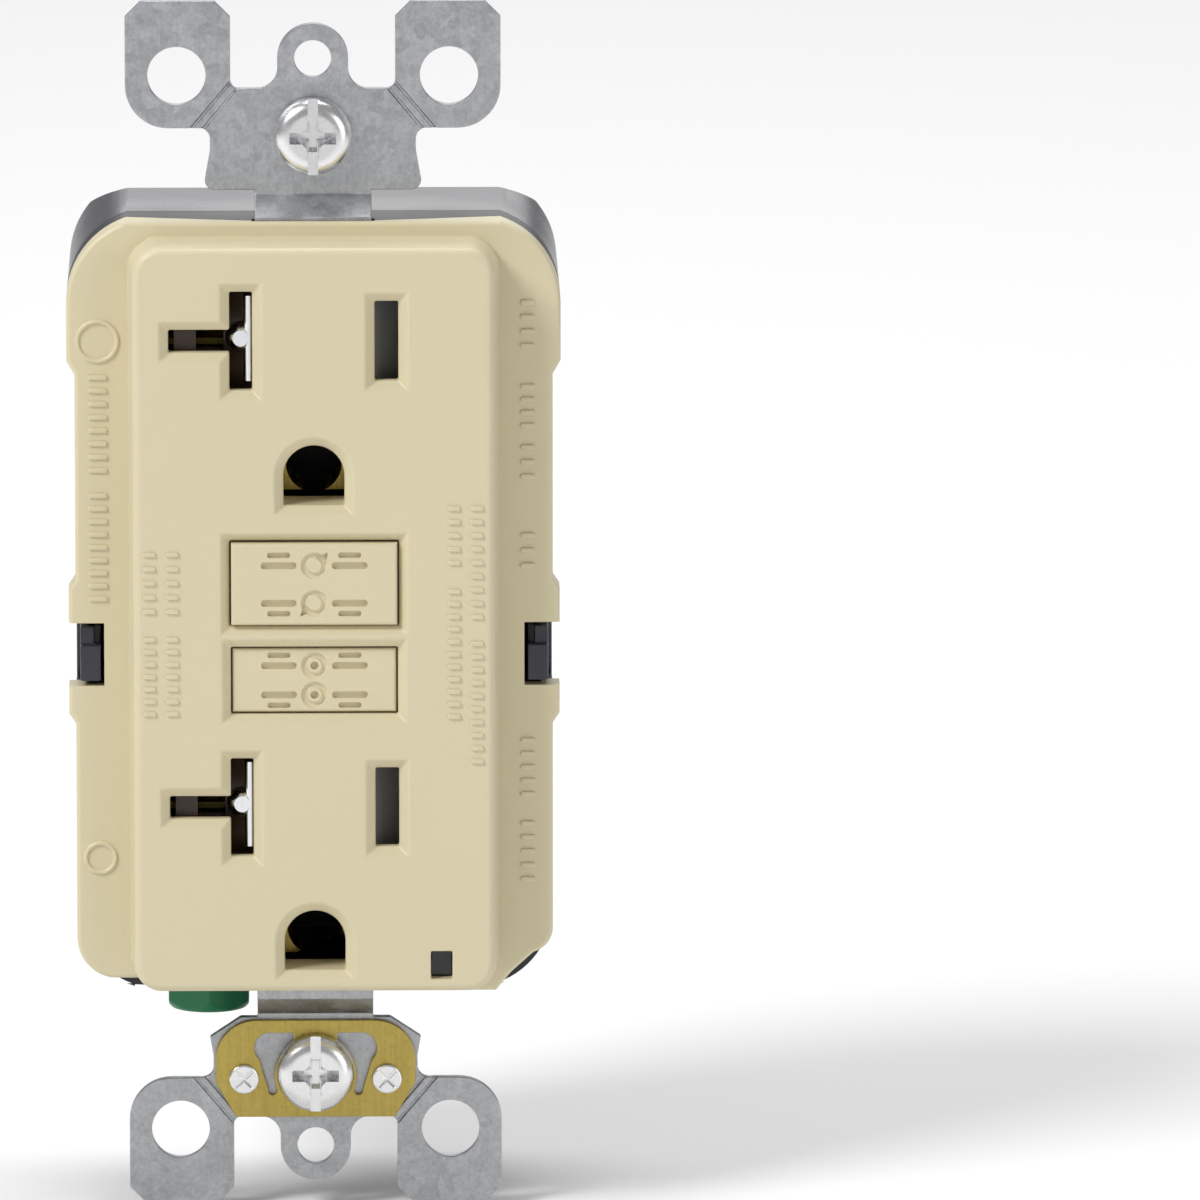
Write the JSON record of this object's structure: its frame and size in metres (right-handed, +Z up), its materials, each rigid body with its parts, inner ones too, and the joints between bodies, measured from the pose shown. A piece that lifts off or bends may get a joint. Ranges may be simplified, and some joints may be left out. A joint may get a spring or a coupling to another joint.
{
  "type": "gfci outlet",
  "caption": "Ivory 20 A duplex ground-fault receptacle with reset and test buttons, tamper shutters, steel mounting strap with ears and side and back wiring.",
  "frame": {"origin": "midway between the two mounting screws, on the wall side of the steel strap", "axes": "+Z up the wall, +X to the right of someone facing the outlet, +Y into the wall; the face looks along -Y"},
  "size_m": [0.0432, 0.0334, 0.107],
  "materials": {
    "ivory_plastic": "satin moulded thermoplastic",
    "dark_plastic": "dark blue-grey moulded thermoplastic",
    "black_plastic": "matt black moulding",
    "zinc_steel": "zinc plated, satin",
    "screw_steel": "bright zinc plated",
    "brass": "rolled brass, satin",
    "clamp_steel": "zinc plated",
    "brass_screw": "brass plated",
    "green_screw": "green dyed plating",
    "fibre": "pressed fibre",
    "shutter_plastic": "dark acetal",
    "polished_steel": "polished stainless steel",
    "spring_steel": "spring wire",
    "copper_wire": "enamelled copper winding",
    "circuit_board": "solder mask",
    "component_black": "moulded components",
    "clear_plastic": "clear light guide"
  },
  "bodies": {
    "case": {"assembly_screws": "screw_steel", "back_body": "dark_plastic", "board_components": "component_black", "board_posts": "brass", "circuit_board": "circuit_board", "clip_rivets": "screw_steel", "front_cover": "ivory_plastic", "ground_clip_plate": "brass", "hot_contact_strip": "brass", "light_pipe": "clear_plastic", "line_hot_terminal": "brass", "line_neutral_terminal": "brass", "lower_ground_contact": "brass", "lower_shutter_frame": "shutter_plastic", "lower_shutter_spring": "spring_steel", "mounting_strap": "zinc_steel", "neutral_contact_strip": "brass", "plunger_spring": "spring_steel", "reset_spring": "spring_steel", "sensing_cores": "copper_wire", "separator": "black_plastic", "solenoid_bobbin": "black_plastic", "solenoid_coil": "copper_wire", "solenoid_frame": "zinc_steel", "status_led": "clear_plastic", "test_spring": "spring_steel", "transformer_housing": "black_plastic", "upper_ground_contact": "brass", "upper_shutter_frame": "shutter_plastic", "upper_shutter_spring": "spring_steel"},
    "reset_button": {"reset_button": "ivory_plastic", "reset_pin": "zinc_steel"},
    "test_button": {"test_button": "ivory_plastic"},
    "test_leaf": {"test_leaf": "brass"},
    "latch_block": {"latch_block": "black_plastic"},
    "latch_plate": {"latch_plate": "zinc_steel"},
    "hot_arm": {"hot_contact_arm": "brass"},
    "neutral_arm": {"neutral_contact_arm": "brass"},
    "plunger": {"plunger": "zinc_steel"},
    "ground_screw": {"ground_screw": "green_screw"},
    "ground_clamp": {"ground_clamp": "clamp_steel"},
    "top_washer": {"mount_washer_top": "fibre"},
    "top_mount_screw": {"mount_screw_top": "screw_steel"},
    "bottom_washer": {"mount_washer_bottom": "fibre"},
    "bottom_mount_screw": {"mount_screw_bottom": "screw_steel"},
    "upper_hot_shutter": {"upper_shutter_hot": "shutter_plastic"},
    "upper_neutral_shutter": {"upper_shutter_neutral": "shutter_plastic", "upper_neutral_clip": "polished_steel"},
    "lower_hot_shutter": {"lower_shutter_hot": "shutter_plastic"},
    "lower_neutral_shutter": {"lower_shutter_neutral": "shutter_plastic", "lower_neutral_clip": "polished_steel"},
    "load_hot_screw": {"load_hot_screw": "brass_screw"},
    "load_hot_clamp": {"load_hot_clamp": "clamp_steel"},
    "line_hot_screw": {"line_hot_screw": "brass_screw"},
    "line_hot_clamp": {"line_hot_clamp": "clamp_steel"},
    "load_neutral_screw": {"load_neutral_screw": "screw_steel"},
    "load_neutral_clamp": {"load_neutral_clamp": "clamp_steel"},
    "line_neutral_screw": {"line_neutral_screw": "screw_steel"},
    "line_neutral_clamp": {"line_neutral_clamp": "clamp_steel"}
  },
  "joints": [
    {"name": "reset_press", "type": "slide", "parent": "case", "child": "reset_button", "axis": [0, 1, 0], "range_m": [0, 0.002], "stiffness_N_per_m": 300, "springref_m": -0.002, "deforming": ["reset_spring"]},
    {"name": "test_press", "type": "slide", "parent": "case", "child": "test_button", "axis": [0, 1, 0], "range_m": [0, 0.0015], "stiffness_N_per_m": 250, "springref_m": -0.0015, "deforming": ["test_spring"]},
    {"name": "test_leaf_bend", "type": "hinge", "parent": "case", "child": "test_leaf", "pos_m": [0.008, 0.01125, -0.00533], "axis": [0, 0, -1], "range_deg": [0, 13]},
    {"name": "upper_hot_shutter_slide", "type": "slide", "parent": "case", "child": "upper_hot_shutter", "axis": [-1, 0, 0], "range_m": [0, 0.00275], "stiffness_N_per_m": 60, "springref_m": -0.002, "deforming": ["upper_shutter_spring"]},
    {"name": "upper_neutral_shutter_slide", "type": "slide", "parent": "case", "child": "upper_neutral_shutter", "axis": [1, 0, 0], "range_m": [0, 0.00275]},
    {"name": "lower_hot_shutter_slide", "type": "slide", "parent": "case", "child": "lower_hot_shutter", "axis": [-1, 0, 0], "range_m": [0, 0.00275], "stiffness_N_per_m": 60, "springref_m": -0.002, "deforming": ["lower_shutter_spring"]},
    {"name": "lower_neutral_shutter_slide", "type": "slide", "parent": "case", "child": "lower_neutral_shutter", "axis": [1, 0, 0], "range_m": [0, 0.00275]},
    {"name": "top_screw_shift", "type": "slide", "parent": "case", "child": "top_washer", "axis": [1, 0, 0], "range_m": [-0.0013, 0.0013]},
    {"name": "top_screw_turn", "type": "hinge", "parent": "top_washer", "child": "top_mount_screw", "pos_m": [0, -0.0011, 0.04167], "axis": [0, 1, 0], "continuous": true},
    {"name": "bottom_screw_shift", "type": "slide", "parent": "case", "child": "bottom_washer", "axis": [1, 0, 0], "range_m": [-0.0013, 0.0013]},
    {"name": "bottom_screw_turn", "type": "hinge", "parent": "bottom_washer", "child": "bottom_mount_screw", "pos_m": [0, -0.0016, -0.04167], "axis": [0, 1, 0], "continuous": true},
    {"name": "load_hot_screw_turn", "type": "hinge", "parent": "case", "child": "load_hot_screw", "pos_m": [0.0174, 0.0144, 0.017], "axis": [-1, 0, 0], "range_deg": [0, 1080]},
    {"name": "load_hot_clamp_draw", "type": "slide", "parent": "case", "child": "load_hot_clamp", "axis": [1, 0, 0], "range_m": [0, 0.00238]},
    {"name": "line_hot_screw_turn", "type": "hinge", "parent": "case", "child": "line_hot_screw", "pos_m": [0.0174, 0.0144, -0.017], "axis": [-1, 0, 0], "range_deg": [0, 1080]},
    {"name": "line_hot_clamp_draw", "type": "slide", "parent": "case", "child": "line_hot_clamp", "axis": [1, 0, 0], "range_m": [0, 0.00238]},
    {"name": "load_neutral_screw_turn", "type": "hinge", "parent": "case", "child": "load_neutral_screw", "pos_m": [-0.0174, 0.0144, 0.017], "axis": [1, 0, 0], "range_deg": [0, 1080]},
    {"name": "load_neutral_clamp_draw", "type": "slide", "parent": "case", "child": "load_neutral_clamp", "axis": [-1, 0, 0], "range_m": [0, 0.00238]},
    {"name": "line_neutral_screw_turn", "type": "hinge", "parent": "case", "child": "line_neutral_screw", "pos_m": [-0.0174, 0.0144, -0.017], "axis": [1, 0, 0], "range_deg": [0, 1080]},
    {"name": "line_neutral_clamp_draw", "type": "slide", "parent": "case", "child": "line_neutral_clamp", "axis": [-1, 0, 0], "range_m": [0, 0.00238]},
    {"name": "ground_screw_turn", "type": "hinge", "parent": "case", "child": "ground_screw", "pos_m": [-0.0094, 0.0045, -0.0332], "axis": [0, 0, 1], "range_deg": [0, 1080]},
    {"name": "ground_clamp_draw", "type": "slide", "parent": "case", "child": "ground_clamp", "axis": [0, 0, -1], "range_m": [0, 0.00238]},
    {"name": "latch_lift", "type": "slide", "parent": "case", "child": "latch_block", "axis": [0, -1, 0], "range_m": [0, 0.00085], "stiffness_N_per_m": 50, "springref_m": -0.001},
    {"name": "hot_arm_close", "type": "hinge", "parent": "case", "child": "hot_arm", "pos_m": [0.011, 0.0125, -0.0082], "axis": [1, 0, 0], "range_deg": [0, 4.2]},
    {"name": "neutral_arm_close", "type": "hinge", "parent": "case", "child": "neutral_arm", "pos_m": [-0.011, 0.0125, -0.0082], "axis": [1, 0, 0], "range_deg": [0, 4.2]},
    {"name": "plunger_pull", "type": "slide", "parent": "case", "child": "plunger", "axis": [0, 0, 1], "range_m": [0, 0.0012], "stiffness_N_per_m": 80, "springref_m": -0.001, "deforming": ["plunger_spring"]},
    {"name": "latch_plate_slide", "type": "slide", "parent": "latch_block", "child": "latch_plate", "axis": [0, 0, 1], "range_m": [0, 0.0012]}
  ],
  "couplings": [
    {"joint": "test_leaf_bend", "follows": "test_press", "rad_per_m": 150},
    {"joint": "upper_neutral_shutter_slide", "follows": "upper_hot_shutter_slide", "ratio": 1},
    {"joint": "lower_neutral_shutter_slide", "follows": "lower_hot_shutter_slide", "ratio": 1},
    {"joint": "load_hot_screw_turn", "follows": "load_hot_clamp_draw", "rad_per_m": 7913.3},
    {"joint": "line_hot_screw_turn", "follows": "line_hot_clamp_draw", "rad_per_m": 7913.3},
    {"joint": "load_neutral_screw_turn", "follows": "load_neutral_clamp_draw", "rad_per_m": 7913.3},
    {"joint": "line_neutral_screw_turn", "follows": "line_neutral_clamp_draw", "rad_per_m": 7913.3},
    {"joint": "ground_screw_turn", "follows": "ground_clamp_draw", "rad_per_m": 7913.3},
    {"joint": "hot_arm_close", "follows": "latch_lift", "rad_per_m": 85.3},
    {"joint": "neutral_arm_close", "follows": "latch_lift", "rad_per_m": 85.3},
    {"joint": "latch_plate_slide", "follows": "plunger_pull", "ratio": 1}
  ]
}
